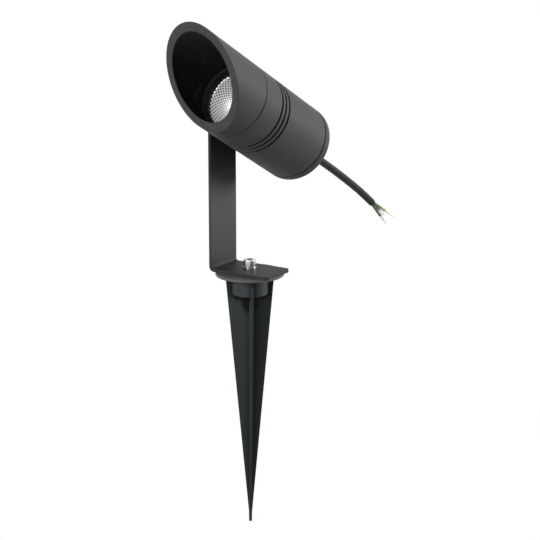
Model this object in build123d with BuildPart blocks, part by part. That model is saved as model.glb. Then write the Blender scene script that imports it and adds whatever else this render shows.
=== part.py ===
from build123d import *

import os
from math import cos, radians, sin, tan

os.makedirs("parts", exist_ok=True)

# Garden spike spotlight, in millimetres and degrees.
# The origin is the centre of the spike's flange underside, which rests on the soil.
# +Z is up. The beam leaves towards -Y and rises by head_tilt.
# A "station" is a distance along the head's axis from the pivot, positive towards the beam.

# Fits
running_fit = 0.05  # radial, a screw's shank in the hole that turns on it
seat_fit = 0.1  # radial, a piece seated in its bore
turning_gap = 0.1  # between flat faces that turn on each other
seam_gap = 0.4  # the fine line between hood and housing
rear_seam_gap = 1.0  # the shadow line between housing and rear cap
edge_break = 0.5  # chamfer on turned outer edges
ring_groove_depth = 1.5  # an O-ring's groove, in section sizes
ring_groove_reach = 1.25  # half its width
ring_depth = 0.5  # from the grooved face down to the O-ring's centre
ring_swell = 0.6  # the O-ring's own section radius

# Spike
flange_overhang = 0.25  # of the flange's radius past half the bracket's foot
flange_thickness = 2.5
flange_edge = 0.8
boss_radius = 14.4
boss_height = 15.2
spike_length = 212.0
fin_span = 39.4
fin_thickness = 2.4
tip_span = 1.6
tip_height = 4.0
spike_turn = 40.0
insert_radius = 4.3
insert_length = 12.0
insert_collar = 1.0

# Screws of the two joints
joint_screw_radius = 3.0
joint_screw_head_radius = 5.0
joint_screw_head_height = 6.0
joint_screw_key = 5.0  # across flats
joint_screw_key_depth = 3.2
screw_rim_share = 0.09  # rounding of a cap screw's head, as a share of its height
joint_washer_radius = 5.3
joint_washer_thickness = 1.6
joint_washer_split = 1.0
joint_washer_slant = -20.0  # of the split, from the washer's radius
foot_screw_length = 14.0
pivot_screw_length = 15.0

# Bracket
bracket_thickness = 2.5
bracket_width = 35.0
foot_length = 55.0
foot_corner = 4.0
bend_radius = 4.5  # outside of the bend
pivot_height = 128.5

# Head, outside
head_tilt = 28.0
head_radius = 31.5
seam_station = 42.3
rear_seam_station = -54.5
rear_face_station = -63.5
groove_station = 16.9
groove_pitch = 5.4
groove_count = 3
groove_width = 2.0
groove_depth = 2.3
pivot_boss_radius = 9.0
pivot_boss_height = 1.1
pivot_hole_depth = 13.0
friction_washer_thickness = 0.8
friction_washer_radius = 8.5

# Hood
hood_wall = 5.75
hood_cut_station = 85.5  # where the slanted face crosses the axis
hood_cut_angle = 44.5  # between the slanted face and the axis
hood_rim_break = 0.5

# Housing, inside
neck_inset = 2.6  # from the head's outside in to the neck's
neck_front_station = 53.0
glass_shelf = 1.95  # width of the step that the glass sits on
glass_seat_station = 33.0
web_thickness = 10.0
rear_wall = 4.0
wire_hole_radius = 2.0
wire_hole_inset = 3.8  # from the chamber's wall to the hole's centre
neck_ring_station = 49.5
neck_ring_section = 0.8

# Front window
gasket_thickness = 1.0
glass_thickness = 4.0
ring_height = 5.0
ring_window_inset = 3.1  # from the bore in to the window's edge
ring_lip_inset = 1.55
ring_notch_width = 3.0
ring_notch_depth = 1.2
ring_notch_angle = 15.0

# Light source
pad_size = 14.0
pad_thickness = 0.3
chip_size = 13.5
chip_thickness = 1.0
emitter_radius = 5.5
emitter_height = 0.5
holder_inset = 2.5  # from the wire hole's centre in to the holder
holder_height = 3.2
holder_window_radius = 6.6
holder_screw_inset = 4.5  # two screws, left and right of the chip
reflector_throat_radius = 7.2
reflector_wall = 0.9
reflector_rim_height = 1.2
reflector_bands = 10
holder_head_height = 1.8

# Driver
board_margin = 3.0
board_thickness = 1.6
standoff_height = 12.0
standoff_radius = 2.75
standoff_inset = 5.0
board_screw_angle = 30.0
board_head_gap = 1.3  # between a board screw's head and the parts beside it
terminal_size = (15.0, 8.0, 9.0)
terminal_head_gap = 2.75  # between the terminal and the lowest board screw's head
terminal_side_gap = 2.65  # between the terminal and the parts left and right of it
terminal_pitch = 4.5
transformer_size = (10.0, 12.0, 11.0)
transformer_gap = 4.0  # between its winding and the terminal
winding_height = 8.0
winding_bulge = 1.5
large_capacitor = (4.8, 15.0)  # radius, height
small_capacitor = (3.8, 11.0)
small_capacitor_rise = 5.5  # above the terminal's middle
choke_rise = 2.5
choke_radius = 3.0
choke_section = 1.4
choke_rounding = 0.84
led_wire_radius = 0.6
led_wire_spacing = 1.0
led_wire_bend = 1.2

# Small screws of the holder, the board and the rear cap
small_screw_radius = 1.5
small_head_radius = 2.75
small_head_height = 3.0
small_screw_key = 2.5
small_screw_key_depth = 1.5
screws_per_ring = 3

# Rear cap
cap_edge_radius = 3.5
spigot_length = 6.5
cap_ring_section = 0.85
cap_recess_radius = 12.0
cap_recess_depth = 5.0
cap_screw_inset = 3.5
cap_screw_boss_radius = 4.5
cap_screw_boss_length = 12.0
cap_screw_length = 16.0
cap_screw_angle = 90.0

# Cable gland and strain relief
gland_thread_radius = 5.9
gland_flange_flats = 16.0
gland_flange_height = 4.5
gland_gasket_radius = 8.0
gland_gasket_thickness = 1.0
gland_nose_length = 6.5
gland_nut_flats = 15.0
gland_nut_length = 10.5
gland_nut_wall = 2.2
gland_seal_radius = 5.0
gland_seal_length = 5.0
gland_seal_protrusion = 1.25  # behind the body's nose, where the nut presses it
locknut_flats = 15.0
locknut_height = 3.5
sleeve_root_radius = 4.8
sleeve_tip_radius = 3.9
sleeve_tip_station = -100.0
sleeve_flange_radius = 5.6
sleeve_flange_height = 0.8
sleeve_rib_count = 6
sleeve_rib_gap = 1.0
sleeve_rib_depth = 0.45

# Supply lead
cable_radius = 3.2
cable_fit = 0.15
jacket_inner_station = -45.0
core_radius = 1.15
core_spacing = 1.45  # from the lead's centre to a core's centre
core_angles = [90, 210, 330]
core_fan = [(1.45, 0.0), (1.45, 3.5), (2.3, 9.5), (3.5, 19.0)]  # from the lead's centre, past its end
core_bends = [10.0, 20.0]
inner_bend = 4.0
ferrule_collar_radius = 1.6
ferrule_collar_length = 6.0
ferrule_taper = 4.0
ferrule_pin_radius = 0.8
ferrule_pin_length = 8.0

# The lead outside the sleeve, as chosen points: sideways, above the head's axis, station
cable_points = [
    (0.0, 0.0, -98.0),
    (0.0, 0.0, -119.0),
    (0.2, -0.6, -142.0),
    (0.6, -1.6, -164.0),
    (1.0, -3.0, -184.0),
    (1.6, -5.4, -203.0),
]
cable_bend_share = 0.45  # of the shorter run beside a point that its arc may take

# Places that follow from the sizes
foot_bottom = flange_thickness + turning_gap
foot_top = foot_bottom + bracket_thickness
strap_outer = -foot_length / 2
strap_inner = strap_outer + bracket_thickness
boss_face = strap_inner + turning_gap + friction_washer_thickness
head_offset = boss_face + pivot_boss_height + head_radius
web_front = web_thickness / 2
web_rear = -web_thickness / 2
flange_radius = foot_length / 2 + flange_overhang
hood_bore_radius = head_radius - hood_wall
neck_radius = head_radius - neck_inset
chamber_radius = hood_bore_radius - glass_shelf
ring_window_radius = hood_bore_radius - ring_window_inset
ring_lip_radius = hood_bore_radius - ring_lip_inset
reflector_mouth_radius = chamber_radius - reflector_wall
wire_hole_offset = chamber_radius - wire_hole_inset
holder_radius = wire_hole_offset - holder_inset
holder_screw_offset = holder_radius - holder_screw_inset
rear_bore_radius = head_radius - rear_wall
board_radius = rear_bore_radius - board_margin
standoff_offset = board_radius - standoff_inset
cap_screw_offset = rear_bore_radius - cap_screw_inset

# Places on the driver board, sideways and up from its centre
board_head_offset = standoff_offset - small_head_radius
board_head_side = standoff_offset * cos(radians(board_screw_angle)) - small_head_radius
terminal_y = terminal_head_gap + terminal_size[1] / 2 - board_head_offset
terminal_side = terminal_size[0] / 2 + terminal_side_gap
transformer_x = board_head_gap + transformer_size[0] / 2 - board_head_side
transformer_y = (
    terminal_y + terminal_size[1] / 2 + transformer_gap + winding_bulge + transformer_size[1] / 2
)
large_capacitor_offset = board_head_offset - board_head_gap - large_capacitor[0]
large_capacitor_x = large_capacitor_offset * cos(radians(board_screw_angle))
large_capacitor_y = large_capacitor_offset * sin(radians(board_screw_angle))
small_capacitor_x = terminal_side + small_capacitor[0]
small_capacitor_y = terminal_y + small_capacitor_rise
choke_x = -(terminal_side + choke_radius + choke_section)
choke_y = terminal_y + choke_rise

head_direction = Vector(0, -cos(radians(head_tilt)), sin(radians(head_tilt)))
head_upward = Vector(0, sin(radians(head_tilt)), cos(radians(head_tilt)))
pivot = Vector(head_offset, 0, pivot_height)
head_axis = Axis(pivot, head_direction)
section_plane = Plane(origin=pivot, x_dir=(1, 0, 0), z_dir=Vector(1, 0, 0).cross(head_direction))


def cross_plane(station):
    # Square to the head's axis; its X is the bracket's X and its Y is the head's upper side.
    return Plane(origin=pivot + head_direction * station, x_dir=(1, 0, 0), z_dir=head_direction)


def beside(plane, x, y):
    # The same plane with its origin moved within it.
    return Plane(plane.from_local_coords((x, y, 0)), plane.x_dir, plane.z_dir)


def head_point(x, y, station):
    return cross_plane(station).from_local_coords((x, y, 0))


def around(plane, offset, count, start):
    # Such planes evenly round a circle.
    angles = [radians(start + 360 * index / count) for index in range(count)]
    return [beside(plane, offset * cos(angle), offset * sin(angle)) for angle in angles]


def turned(profile, mode=Mode.ADD):
    # A body turned about the head's axis from points (radius, station).
    with BuildSketch(section_plane) as section:
        with BuildLine():
            Polyline(*profile, close=True)
        make_face()
    revolve(section.sketch, axis=head_axis, mode=mode)


def washer(inner, outer, low, high, mode=Mode.ADD):
    turned([(inner, low), (outer, low), (outer, high), (inner, high)], mode)


def o_ring(radius, station, size):
    # In a groove of an outer face of this radius.
    with BuildSketch(section_plane) as section:
        with Locations((radius - ring_depth * size, station)):
            Circle(ring_swell * size)
    revolve(section.sketch, axis=head_axis)


def o_ring_groove(radius, station, size):
    reach = ring_groove_reach * size
    floor = radius - ring_groove_depth * size
    washer(floor, radius + edge_break, station - reach, station + reach, Mode.SUBTRACT)


def drilled(station, offset, count, start, radius, depth):
    # Holes along the axis, cut from the given station towards the beam.
    with BuildSketch(cross_plane(station)) as holes:
        with PolarLocations(offset, count, start_angle=start):
            Circle(radius)
    extrude(holes.sketch, amount=depth, mode=Mode.SUBTRACT)


def socket_screw(plane, radius, length, cap_radius, head_height, key, key_depth):
    # A cap screw: its head stands on the plane, its shank goes down from it.
    with BuildSketch(plane) as head_outline:
        Circle(cap_radius)
    extrude(head_outline.sketch, amount=head_height)
    rim = edges(Select.LAST).filter_by(GeomType.CIRCLE).sort_by(Axis(plane.origin, plane.z_dir))[-1]
    fillet(rim, radius=head_height * screw_rim_share)
    with BuildSketch(plane) as shank_outline:
        Circle(radius)
    extrude(shank_outline.sketch, amount=-length)
    with BuildSketch(plane.offset(head_height)) as key_outline:
        RegularPolygon(key / 2, 6, major_radius=False)
    extrude(key_outline.sketch, amount=-key_depth, mode=Mode.SUBTRACT)


def split_washer(plane):
    with BuildSketch(plane) as outline:
        Circle(joint_washer_radius)
        Circle(joint_screw_radius + running_fit, mode=Mode.SUBTRACT)
        with Locations((0, -joint_washer_radius)):
            Rectangle(
                joint_washer_split,
                2 * joint_washer_radius,
                rotation=joint_washer_slant,
                mode=Mode.SUBTRACT,
            )
    extrude(outline.sketch, amount=joint_washer_thickness)


def joint_screw(plane, length):
    socket_screw(
        plane.offset(joint_washer_thickness),
        joint_screw_radius,
        length,
        joint_screw_head_radius,
        joint_screw_head_height,
        joint_screw_key,
        joint_screw_key_depth,
    )


def small_screw(plane, length, head_height):
    socket_screw(
        plane,
        small_screw_radius,
        length,
        small_head_radius,
        head_height,
        small_screw_key,
        small_screw_key_depth,
    )


def hexagon(station, flats, amount):
    with BuildSketch(cross_plane(station)) as outline:
        RegularPolygon(flats / 2, 6, major_radius=False)
    extrude(outline.sketch, amount=amount)


def tube(points, radii, radius):
    # A round cord or wire along straight runs joined by arcs.
    with BuildLine():
        route = FilletPolyline(*points, radius=radii)
    with BuildSketch(Plane(origin=route @ 0, z_dir=route % 0)) as outline:
        Circle(radius)
    sweep(outline.sketch, path=route)


def keep(piece, name):
    piece.part.label = name
    export_step(piece.part, f"parts/{name}.step")


# ---- Spike: flange, boss and four tapering fins in one moulding

with BuildPart() as spike:
    with BuildSketch():
        Circle(flange_radius)
    extrude(amount=flange_thickness)
    fillet(spike.edges(), radius=flange_edge)
    for quarter in range(2):
        with BuildSketch(Plane.XZ.rotated((0, 0, spike_turn + 90 * quarter))) as fin:
            with BuildLine():
                Polyline(
                    (-fin_span / 2, 0),
                    (fin_span / 2, 0),
                    (tip_span / 2, tip_height - spike_length),
                    (0, -spike_length),
                    (-tip_span / 2, tip_height - spike_length),
                    close=True,
                )
            make_face()
        extrude(amount=fin_thickness / 2, both=True)
    with BuildSketch() as boss:
        Circle(boss_radius)
    extrude(amount=-boss_height)
    with BuildSketch(Plane.XY.offset(flange_thickness)):
        Circle(insert_radius + seat_fit)
    extrude(amount=-(insert_length + seat_fit), mode=Mode.SUBTRACT)
keep(spike, "spike")

with BuildPart() as threaded_insert:
    with BuildSketch(Plane.XY.offset(flange_thickness)):
        Circle(insert_radius)
        Circle(joint_screw_radius + running_fit, mode=Mode.SUBTRACT)
    extrude(amount=-insert_length)
    with BuildSketch(Plane.XY.offset(flange_thickness - 2 * insert_collar)):
        Circle(insert_radius + seat_fit)
        Circle(insert_radius - insert_collar / 2, mode=Mode.SUBTRACT)
    extrude(amount=-insert_collar, mode=Mode.SUBTRACT)
keep(threaded_insert, "threaded_insert")

foot_washer_plane = Plane.XY.offset(foot_top + turning_gap)

with BuildPart() as foot_split_washer:
    split_washer(foot_washer_plane)
keep(foot_split_washer, "foot_split_washer")

with BuildPart() as foot_screw:
    joint_screw(foot_washer_plane, foot_screw_length)
keep(foot_screw, "foot_screw")

# ---- Bracket: a bent strap, its foot under the foot screw and its ear beside the head

with BuildPart() as mounting_bracket:
    with BuildSketch(Plane.XZ) as bend:
        with BuildLine():
            FilletPolyline(
                (strap_outer, pivot_height),
                (strap_outer, foot_bottom),
                (foot_length / 2, foot_bottom),
                radius=bend_radius,
            )
            offset(amount=bracket_thickness, side=Side.LEFT)
        make_face()
    extrude(amount=bracket_width / 2, both=True)
    with BuildSketch(Plane(origin=(strap_outer, 0, pivot_height), z_dir=(1, 0, 0))) as ear:
        Circle(bracket_width / 2)
    extrude(amount=bracket_thickness)
    toe = mounting_bracket.edges().filter_by(Axis.Z).group_by(Axis.X)[-1]
    fillet(toe, radius=foot_corner)
    with Locations(Plane(origin=(strap_outer, 0, pivot_height), z_dir=(-1, 0, 0))):
        Hole(joint_screw_radius + running_fit, depth=bracket_thickness)
    with Locations(Plane.XY.offset(foot_top)):
        Hole(joint_screw_radius + running_fit, depth=bracket_thickness)
keep(mounting_bracket, "mounting_bracket")

# ---- Pivot: cap screw and split washer outside the strap, friction washer inside it

pivot_washer_plane = Plane(origin=(strap_outer - turning_gap, 0, pivot_height), z_dir=(-1, 0, 0))

with BuildPart() as pivot_split_washer:
    split_washer(pivot_washer_plane)
keep(pivot_split_washer, "pivot_split_washer")

with BuildPart() as pivot_screw:
    joint_screw(pivot_washer_plane, pivot_screw_length)
keep(pivot_screw, "pivot_screw")

with BuildPart() as pivot_friction_washer:
    with BuildSketch(Plane(origin=(boss_face, 0, pivot_height), z_dir=(-1, 0, 0))):
        Circle(friction_washer_radius)
        Circle(joint_screw_radius + running_fit, mode=Mode.SUBTRACT)
    extrude(amount=friction_washer_thickness)
keep(pivot_friction_washer, "pivot_friction_washer")

# ---- Housing: front chamber, solid web behind the lamp, driver chamber, three outside grooves

neck_shoulder = seam_station - seam_gap
cap_seat = rear_seam_station + rear_seam_gap
groove_half = groove_width / 2

with BuildPart() as housing:
    turned(
        [
            (rear_bore_radius, cap_seat),
            (head_radius - edge_break, cap_seat),
            (head_radius, cap_seat + edge_break),
            (head_radius, neck_shoulder - edge_break),
            (head_radius - edge_break, neck_shoulder),
            (neck_radius, neck_shoulder),
            (neck_radius, neck_front_station - edge_break),
            (neck_radius - edge_break, neck_front_station),
            (hood_bore_radius, neck_front_station),
            (hood_bore_radius, glass_seat_station),
            (chamber_radius, glass_seat_station),
            (chamber_radius, web_front),
            (0, web_front),
            (0, web_rear),
            (rear_bore_radius, web_rear),
        ]
    )
    for index in range(groove_count):
        middle = groove_station - index * groove_pitch
        turned(
            [
                (head_radius - groove_depth, middle - groove_half),
                (head_radius + edge_break, middle - groove_half),
                (head_radius + edge_break, middle + groove_half + edge_break),
                (head_radius - groove_depth, middle + groove_half),
            ],
            Mode.SUBTRACT,
        )
    o_ring_groove(neck_radius, neck_ring_station, neck_ring_section)
    with BuildSketch(Plane(origin=(boss_face, 0, pivot_height), z_dir=(1, 0, 0))) as pivot_boss:
        Circle(pivot_boss_radius)
    extrude(pivot_boss.sketch, amount=pivot_boss_height + (head_radius - rear_bore_radius) / 2)
    with BuildSketch(cross_plane(rear_seam_station + spigot_length + seat_fit)) as cap_bosses:
        with PolarLocations(cap_screw_offset, screws_per_ring, start_angle=cap_screw_angle):
            Circle(cap_screw_boss_radius)
    extrude(cap_bosses.sketch, amount=cap_screw_boss_length)
    drilled(
        rear_seam_station,
        cap_screw_offset,
        screws_per_ring,
        cap_screw_angle,
        small_screw_radius + running_fit,
        spigot_length + cap_screw_boss_length,
    )
    drilled(
        web_rear,
        standoff_offset,
        screws_per_ring,
        board_screw_angle,
        small_screw_radius + running_fit,
        web_thickness / 2,
    )
    with BuildSketch(beside(cross_plane(web_rear), 0, wire_hole_offset)) as wire_hole:
        Circle(wire_hole_radius)
    extrude(wire_hole.sketch, amount=web_thickness, mode=Mode.SUBTRACT)
    drilled(0, holder_screw_offset, 2, 0, small_screw_radius + running_fit, web_front)
    with Locations(Plane(origin=(boss_face, 0, pivot_height), z_dir=(-1, 0, 0))):
        Hole(joint_screw_radius + running_fit, depth=pivot_hole_depth)
keep(housing, "housing")

# ---- Hood: pushed over the housing's neck, its front cut off at a slant

socket_radius = neck_radius + seat_fit
socket_floor = neck_front_station + seam_gap
hood_length = head_radius / tan(radians(hood_cut_angle))
hood_tip = hood_cut_station + hood_length + hood_rim_break
cut_angle = radians(hood_cut_angle)
hood_cut_plane = Plane(
    origin=pivot + head_direction * hood_cut_station,
    x_dir=(1, 0, 0),
    z_dir=head_direction * sin(cut_angle) - head_upward * cos(cut_angle),
)

with BuildPart() as hood:
    turned(
        [
            (socket_radius, seam_station),
            (head_radius - edge_break, seam_station),
            (head_radius, seam_station + edge_break),
            (head_radius, hood_tip),
            (hood_bore_radius, hood_tip),
            (hood_bore_radius, socket_floor),
            (socket_radius, socket_floor),
        ]
    )
    split(bisect_by=hood_cut_plane, keep=Keep.BOTTOM)
    rim_face = hood.faces().sort_by(Axis(hood_cut_plane.origin, hood_cut_plane.z_dir))[-1]
    chamfer(rim_face.edges(), length=hood_rim_break)
keep(hood, "hood")

with BuildPart() as hood_o_ring:
    o_ring(neck_radius, neck_ring_station, neck_ring_section)
keep(hood_o_ring, "hood_o_ring")

# ---- Front window: gasket, glass and the screwed ring that holds them

glass_rear = glass_seat_station + gasket_thickness
ring_rear = glass_rear + glass_thickness
ring_front = ring_rear + ring_height
window_radius = hood_bore_radius - seat_fit

with BuildPart() as glass_gasket:
    washer(chamber_radius + seat_fit, window_radius, glass_seat_station, glass_rear)
keep(glass_gasket, "glass_gasket")

with BuildPart() as front_glass:
    with BuildSketch(cross_plane(glass_rear)):
        Circle(window_radius)
    extrude(amount=glass_thickness)
keep(front_glass, "front_glass")

with BuildPart() as glass_retaining_ring:
    turned(
        [
            (ring_window_radius, ring_rear),
            (window_radius, ring_rear),
            (window_radius, ring_front),
            (ring_lip_radius, ring_front),
            (ring_window_radius, ring_rear + ring_notch_depth),
        ]
    )
    with BuildSketch(cross_plane(ring_front)) as notches:
        with PolarLocations(ring_lip_radius, 2, start_angle=ring_notch_angle):
            Rectangle(ring_notch_width, ring_notch_width)
    extrude(notches.sketch, amount=-ring_notch_depth, mode=Mode.SUBTRACT)
keep(glass_retaining_ring, "glass_retaining_ring")

# ---- Light source: pad, chip, emitter, holder, two screws and the reflector

with BuildPart() as thermal_pad:
    with BuildSketch(cross_plane(web_front)):
        Rectangle(pad_size, pad_size)
    extrude(amount=pad_thickness)
keep(thermal_pad, "thermal_pad")

chip_rear = web_front + pad_thickness
chip_front = chip_rear + chip_thickness

with BuildPart() as led_chip:
    with BuildSketch(cross_plane(chip_rear)):
        Rectangle(chip_size, chip_size)
    extrude(amount=chip_thickness)
keep(led_chip, "led_chip")

with BuildPart() as led_emitter:
    with BuildSketch(cross_plane(chip_front)):
        Circle(emitter_radius)
    extrude(amount=emitter_height)
keep(led_emitter, "led_emitter")

holder_front = web_front + holder_height
screw_seat = holder_front - holder_head_height

with BuildPart() as led_holder:
    with BuildSketch(cross_plane(web_front)):
        Circle(holder_radius)
    extrude(amount=holder_height)
    with BuildSketch(cross_plane(web_front)):
        Rectangle(pad_size + 2 * seat_fit, pad_size + 2 * seat_fit)
    extrude(amount=pad_thickness + chip_thickness + seat_fit, mode=Mode.SUBTRACT)
    with BuildSketch(cross_plane(web_front)):
        Circle(holder_window_radius)
    extrude(amount=holder_height, mode=Mode.SUBTRACT)
    drilled(web_front, holder_screw_offset, 2, 0, small_screw_radius + seat_fit, holder_height)
    drilled(screw_seat, holder_screw_offset, 2, 0, small_head_radius + seat_fit, holder_head_height)
keep(led_holder, "led_holder")

with BuildPart() as led_holder_screws:
    for side in (-1, 1):
        small_screw(
            beside(cross_plane(screw_seat), side * holder_screw_offset, 0),
            screw_seat - seat_fit,
            holder_head_height,
        )
keep(led_holder_screws, "led_holder_screws")

chamber_fit_radius = chamber_radius - seat_fit


def bowl_radius(station):
    # The reflector's inside is a parabola between its throat and its mouth.
    share = (station - holder_front) / (glass_seat_station - holder_front)
    throat, mouth = reflector_throat_radius**2, reflector_mouth_radius**2
    return (throat + share * (mouth - throat)) ** 0.5


with BuildPart() as reflector:
    band = (glass_seat_station - holder_front) / reflector_bands
    bands = [holder_front + index * band for index in range(reflector_bands + 1)]
    rim_rear = glass_seat_station - reflector_rim_height
    inside = [(bowl_radius(level), level) for level in bands]
    outside = [(bowl_radius(level) + reflector_wall, level) for level in bands if level < rim_rear]
    rim = [(chamber_fit_radius, glass_seat_station), (chamber_fit_radius, rim_rear)]
    turned(inside + rim + outside[::-1])
keep(reflector, "reflector")

# ---- Driver: round board on three standoffs behind the web, its parts facing the rear

board_front = web_rear - standoff_height
board_rear = board_front - board_thickness
small_hole_radius = small_screw_radius + running_fit


def behind_board(x, y):
    # Seen from the beam's side, a plane on the board's rear face that looks to the rear.
    plane = cross_plane(board_rear)
    return Plane(plane.from_local_coords((x, y, 0)), plane.x_dir, -head_direction)


with BuildPart() as board_standoffs:
    for seat in around(cross_plane(web_rear), standoff_offset, screws_per_ring, board_screw_angle):
        with BuildSketch(seat) as outline:
            RegularPolygon(standoff_radius, 6, major_radius=False)
        extrude(outline.sketch, amount=-standoff_height)
        with BuildSketch(seat) as stud:
            Circle(small_screw_radius)
        extrude(stud.sketch, amount=web_thickness / 2 - seat_fit)
    drilled(
        board_front,
        standoff_offset,
        screws_per_ring,
        board_screw_angle,
        small_hole_radius,
        standoff_height / 2,
    )
keep(board_standoffs, "board_standoffs")

with BuildPart() as driver_board:
    with BuildSketch(cross_plane(board_rear)):
        Circle(board_radius)
    extrude(amount=board_thickness)
    drilled(
        board_rear,
        standoff_offset,
        screws_per_ring,
        board_screw_angle,
        small_hole_radius,
        board_thickness,
    )
keep(driver_board, "driver_board")

with BuildPart() as board_screws:
    for seat in around(cross_plane(board_rear), standoff_offset, screws_per_ring, board_screw_angle):
        small_screw(
            Plane(seat.origin, seat.x_dir, -head_direction),
            board_thickness + standoff_height / 2 - seat_fit,
            small_head_height,
        )
keep(board_screws, "board_screws")

with BuildPart() as driver_transformer:
    width, depth, height = transformer_size
    with BuildSketch(behind_board(transformer_x, transformer_y)) as core:
        Rectangle(width, depth)
    extrude(core.sketch, amount=height)
    winding_plane = behind_board(transformer_x, transformer_y).offset((height - winding_height) / 2)
    with BuildSketch(winding_plane) as winding:
        RectangleRounded(width - 2 * winding_bulge, depth + 2 * winding_bulge, winding_bulge)
    extrude(winding.sketch, amount=winding_height)
keep(driver_transformer, "driver_transformer")

with BuildPart() as driver_capacitors:
    for x, y, (radius, height) in [
        (large_capacitor_x, large_capacitor_y, large_capacitor),
        (small_capacitor_x, small_capacitor_y, small_capacitor),
    ]:
        with BuildSketch(behind_board(x, y)) as can:
            Circle(radius)
        extrude(can.sketch, amount=height)
        chamfer(edges(Select.LAST).filter_by(GeomType.CIRCLE).sort_by(head_axis)[0], length=edge_break)
keep(driver_capacitors, "driver_capacitors")

with BuildPart() as driver_choke:
    with BuildSketch(behind_board(choke_x, choke_y)) as ring:
        Circle(choke_radius + choke_section)
        Circle(choke_radius - choke_section, mode=Mode.SUBTRACT)
    extrude(ring.sketch, amount=2 * choke_section)
    fillet(driver_choke.edges(), radius=choke_rounding)
keep(driver_choke, "driver_choke")

terminal_rear = board_rear - terminal_size[2]

with BuildPart() as input_terminal:
    with BuildSketch(behind_board(0, terminal_y)) as block:
        Rectangle(*terminal_size[:2])
    extrude(block.sketch, amount=terminal_size[2])
    with BuildSketch(beside(cross_plane(terminal_rear), 0, terminal_y)) as entries:
        with GridLocations(terminal_pitch, 0, 3, 1):
            Circle(core_radius + seat_fit)
    extrude(entries.sketch, amount=terminal_size[2] / 2, mode=Mode.SUBTRACT)
keep(input_terminal, "input_terminal")

with BuildPart() as led_wires:
    for side in (-1, 1):
        x = side * led_wire_spacing
        entry = web_front + holder_height / 2
        tube(
            [
                head_point(x, wire_hole_offset, board_front),
                head_point(x, wire_hole_offset, entry),
                head_point(x, holder_radius, entry),
            ],
            [led_wire_bend],
            led_wire_radius,
        )
keep(led_wires, "led_wires")

core_columns = [0, -1, 1]

with BuildPart() as supply_cores:
    for angle, column in zip(core_angles, core_columns):
        start_x = core_spacing * cos(radians(angle))
        start_y = core_spacing * sin(radians(angle))
        end_x = column * terminal_pitch
        tube(
            [
                head_point(start_x, start_y, jacket_inner_station),
                head_point(start_x, start_y, jacket_inner_station + inner_bend),
                head_point(end_x, terminal_y, terminal_rear - inner_bend),
                head_point(end_x, terminal_y, terminal_rear + terminal_size[2] / 2 - seat_fit),
            ],
            [inner_bend, inner_bend],
            core_radius,
        )
keep(supply_cores, "supply_cores")

# ---- Rear cap: spigot with an O-ring, three recessed screws, gland hole in the middle

spigot_radius = rear_bore_radius - seat_fit
spigot_front = rear_seam_station + spigot_length
recess_floor = spigot_front - cap_recess_depth
gland_hole_radius = gland_thread_radius + seat_fit
cap_screw_seat = rear_face_station + small_head_height + seat_fit
cap_ring_station = rear_seam_station + spigot_length / 2

with BuildPart() as rear_cap:
    turned(
        [
            (gland_hole_radius, rear_face_station),
            (head_radius, rear_face_station),
            (head_radius, rear_seam_station - edge_break),
            (head_radius - edge_break, rear_seam_station),
            (spigot_radius, rear_seam_station),
            (spigot_radius, spigot_front),
            (cap_recess_radius, spigot_front),
            (cap_recess_radius, recess_floor),
            (gland_hole_radius, recess_floor),
        ]
    )
    rear_rim = rear_cap.faces().sort_by(head_axis)[0].edges().sort_by(SortBy.LENGTH)[-1]
    fillet(rear_rim, radius=cap_edge_radius)
    o_ring_groove(spigot_radius, cap_ring_station, cap_ring_section)
    drilled(
        rear_face_station,
        cap_screw_offset,
        screws_per_ring,
        cap_screw_angle,
        small_screw_radius + seat_fit,
        spigot_front - rear_face_station,
    )
    drilled(
        rear_face_station,
        cap_screw_offset,
        screws_per_ring,
        cap_screw_angle,
        small_head_radius + 2 * seat_fit,
        cap_screw_seat - rear_face_station,
    )
keep(rear_cap, "rear_cap")

with BuildPart() as rear_o_ring:
    o_ring(spigot_radius, cap_ring_station, cap_ring_section)
keep(rear_o_ring, "rear_o_ring")

with BuildPart() as rear_cap_screws:
    for seat in around(cross_plane(cap_screw_seat), cap_screw_offset, screws_per_ring, cap_screw_angle):
        small_screw(Plane(seat.origin, seat.x_dir, -head_direction), cap_screw_length, small_head_height)
keep(rear_cap_screws, "rear_cap_screws")

# ---- Cable gland: gasket, body, locknut, rubber seal, cap nut and ribbed strain relief

cable_bore = cable_radius + cable_fit
gland_rear = rear_face_station - gland_gasket_thickness
nose_front = gland_rear - gland_flange_height
nose_end = nose_front - gland_nose_length
seal_rear = nose_end - gland_seal_protrusion
seal_front = seal_rear + gland_seal_length
nut_floor = seal_rear - sleeve_flange_height
nut_rear = nut_floor - gland_nut_wall
locknut_front = recess_floor + locknut_height

with BuildPart() as gland_gasket:
    washer(gland_hole_radius, gland_gasket_radius, gland_rear, rear_face_station)
keep(gland_gasket, "gland_gasket")

with BuildPart() as gland_body:
    hexagon(nose_front, gland_flange_flats, gland_flange_height)
    washer(cable_bore, gland_thread_radius, nose_end, locknut_front + edge_break)
    washer(0, cable_bore, nose_end, gland_rear, Mode.SUBTRACT)
    washer(0, gland_seal_radius + seat_fit, nose_end, seal_front, Mode.SUBTRACT)
keep(gland_body, "gland_body")

with BuildPart() as gland_locknut:
    hexagon(recess_floor, locknut_flats, locknut_height)
    washer(0, gland_hole_radius, recess_floor, locknut_front, Mode.SUBTRACT)
keep(gland_locknut, "gland_locknut")

with BuildPart() as gland_seal:
    washer(cable_bore, gland_seal_radius, seal_rear, seal_front)
keep(gland_seal, "gland_seal")

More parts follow.
